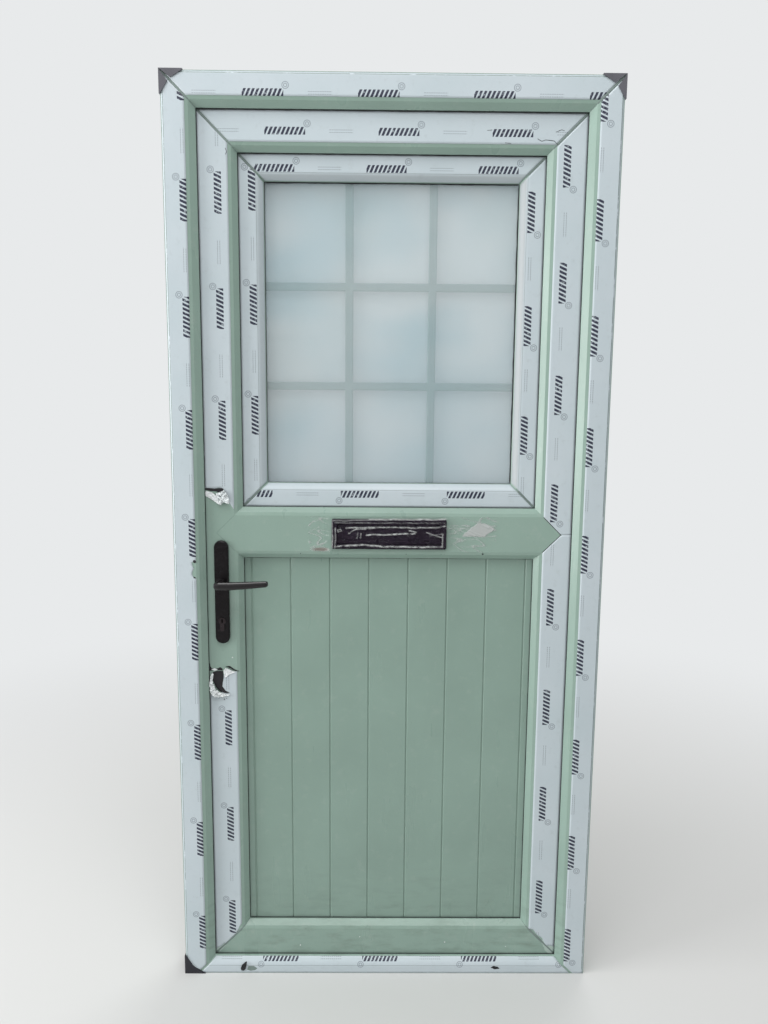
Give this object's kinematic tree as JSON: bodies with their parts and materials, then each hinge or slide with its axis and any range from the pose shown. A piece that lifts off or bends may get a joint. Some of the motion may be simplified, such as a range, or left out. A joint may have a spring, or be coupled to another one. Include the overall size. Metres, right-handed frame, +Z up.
{
  "type": "stable door with frame",
  "caption": "Glazed stable door in its outer frame: boarded lower half, upper glazed sash that opens by itself, lever handle, letterplate and transit films.",
  "frame": {"origin": "middle of the underside of the frame, at mid depth of the outer frame", "axes": "+X to the right seen from outside, +Y into the building, +Z up"},
  "size_m": [0.99, 0.1768, 2.0975],
  "materials": {
    "aluminium_spacer": "mill finish",
    "black_gasket": "matt elastomer",
    "black_handle": "satin black powder coat",
    "black_letterplate": "semi-gloss black",
    "clear_glass": "clear float glass",
    "clear_tape": "clear wrinkled packing tape",
    "dark_protector": "matt polypropylene, dirty",
    "galvanised_steel": "galvanised",
    "grey_protector": "matt polypropylene",
    "nickel": "satin nickel",
    "old_brass": "tarnished, near black",
    "protective_film": "white tape, black underneath",
    "sage_bars": "sage enamel",
    "sage_upvc": "satin foiled uPVC, sage green",
    "satin_glass": "obscure satin glass",
    "zinc_steel": "zinc plated"
  },
  "bodies": {
    "frame": {"frame_jamb_left": "sage_upvc", "frame_jamb_right": "sage_upvc", "frame_head": "sage_upvc", "frame_threshold": "sage_upvc", "frame_reinforcement": "galvanised_steel", "frame_seal": "black_gasket", "corner_protector_top_left": "grey_protector", "corner_protector_top_right": "grey_protector", "corner_protector_bottom_left": "dark_protector", "latch_keep": "zinc_steel", "hook_keeps": "zinc_steel", "door_hinge_frame_flags": "black_handle", "frame_film": "protective_film"},
    "leaf": {"leaf_stile_left": "sage_upvc", "leaf_stile_right": "sage_upvc", "leaf_head": "sage_upvc", "leaf_mid_rail": "sage_upvc", "leaf_bottom_rail": "sage_upvc", "leaf_reinforcement": "galvanised_steel", "leaf_gaskets": "black_gasket", "door_panel": "sage_upvc", "panel_beads": "sage_upvc", "lock_faceplate": "zinc_steel", "lock_cases": "zinc_steel", "lock_cylinder": "old_brass", "outside_backplate": "black_handle", "inside_backplate": "black_handle", "letterplate_frame": "black_letterplate", "letterplate_outer_flap": "black_letterplate", "letterplate_inner_frame": "black_letterplate", "letterplate_tape": "clear_tape", "door_hinge_leaf_flags": "black_handle", "window_hinge_leaf_flags": "black_handle", "window_keeps": "zinc_steel", "leaf_film": "protective_film"},
    "window_sash": {"window_stile_left": "sage_upvc", "window_stile_right": "sage_upvc", "window_head": "sage_upvc", "window_bottom_rail": "sage_upvc", "window_beads": "sage_upvc", "window_gaskets": "black_gasket", "glass_outer_pane": "clear_glass", "glass_inner_pane": "satin_glass", "glass_spacer": "aluminium_spacer", "georgian_bars": "sage_bars", "window_lock_plate": "zinc_steel", "window_handle_base": "black_handle", "window_hinge_sash_flags": "black_handle", "window_film": "protective_film"},
    "lever_set": {"outside_lever": "black_handle", "inside_lever": "black_handle", "lever_spindle": "zinc_steel"},
    "latch": {"latch_bolt": "nickel"},
    "key_plug": {"cylinder_plug": "old_brass"},
    "deadbolt": {"deadbolt": "nickel"},
    "hook_low": {"hook_lower": "zinc_steel"},
    "hook_high": {"hook_upper": "zinc_steel"},
    "inner_flap": {"letterplate_inner_flap": "black_letterplate"},
    "window_lever": {"window_handle": "black_handle"},
    "window_cams": {"window_cam_rail": "zinc_steel"}
  },
  "joints": [
    {"name": "leaf_swing", "type": "hinge", "parent": "frame", "child": "leaf", "pos_m": [0.4625, 0.063, 1.0475], "axis": [0, 0, -1], "range_deg": [0, 95]},
    {"name": "window_swing", "type": "hinge", "parent": "leaf", "child": "window_sash", "pos_m": [0.3765, 0.082, 1.5], "axis": [0, 0, -1], "range_deg": [0, 90]},
    {"name": "lever_turn", "type": "hinge", "parent": "leaf", "child": "lever_set", "pos_m": [-0.3875, 0.02, 0.988], "axis": [0, 1, 0], "range_deg": [0, 35], "stiffness_Nm_per_rad": 1.2, "springref_deg": -28.65},
    {"name": "latch_slide", "type": "slide", "parent": "leaf", "child": "latch", "axis": [-1, 0, 0], "range_m": [0, 0.0125]},
    {"name": "key_turn", "type": "hinge", "parent": "leaf", "child": "key_plug", "pos_m": [-0.3875, 0.02, 0.896], "axis": [0, 1, 0], "range_deg": [0, 360]},
    {"name": "deadbolt_slide", "type": "slide", "parent": "leaf", "child": "deadbolt", "axis": [-1, 0, 0], "range_m": [0, 0.02]},
    {"name": "hook_lower_turn", "type": "hinge", "parent": "leaf", "child": "hook_low", "pos_m": [-0.4145, 0.013, 0.348], "axis": [0, -1, 0], "range_deg": [0, 90]},
    {"name": "hook_upper_turn", "type": "hinge", "parent": "leaf", "child": "hook_high", "pos_m": [-0.4145, 0.013, 1.628], "axis": [0, -1, 0], "range_deg": [0, 90]},
    {"name": "inner_flap_lift", "type": "hinge", "parent": "leaf", "child": "inner_flap", "pos_m": [0, 0.0643, 1.1265], "axis": [1, 0, 0], "range_deg": [0, 80], "stiffness_Nm_per_rad": 0.08, "springref_deg": -20.05},
    {"name": "window_handle_turn", "type": "hinge", "parent": "window_sash", "child": "window_lever", "pos_m": [-0.3265, 0.06, 1.55175], "axis": [0, 1, 0], "range_deg": [0, 90]},
    {"name": "window_cams_slide", "type": "slide", "parent": "window_sash", "child": "window_cams", "axis": [0, 0, 1], "range_m": [0, 0.018]}
  ],
  "couplings": [
    {"joint": "deadbolt_slide", "follows": "key_turn", "m_per_rad": 0.0031831},
    {"joint": "hook_lower_turn", "follows": "key_turn", "ratio": 0.25},
    {"joint": "hook_upper_turn", "follows": "key_turn", "ratio": 0.25},
    {"joint": "window_cams_slide", "follows": "window_handle_turn", "m_per_rad": 0.011459}
  ]
}
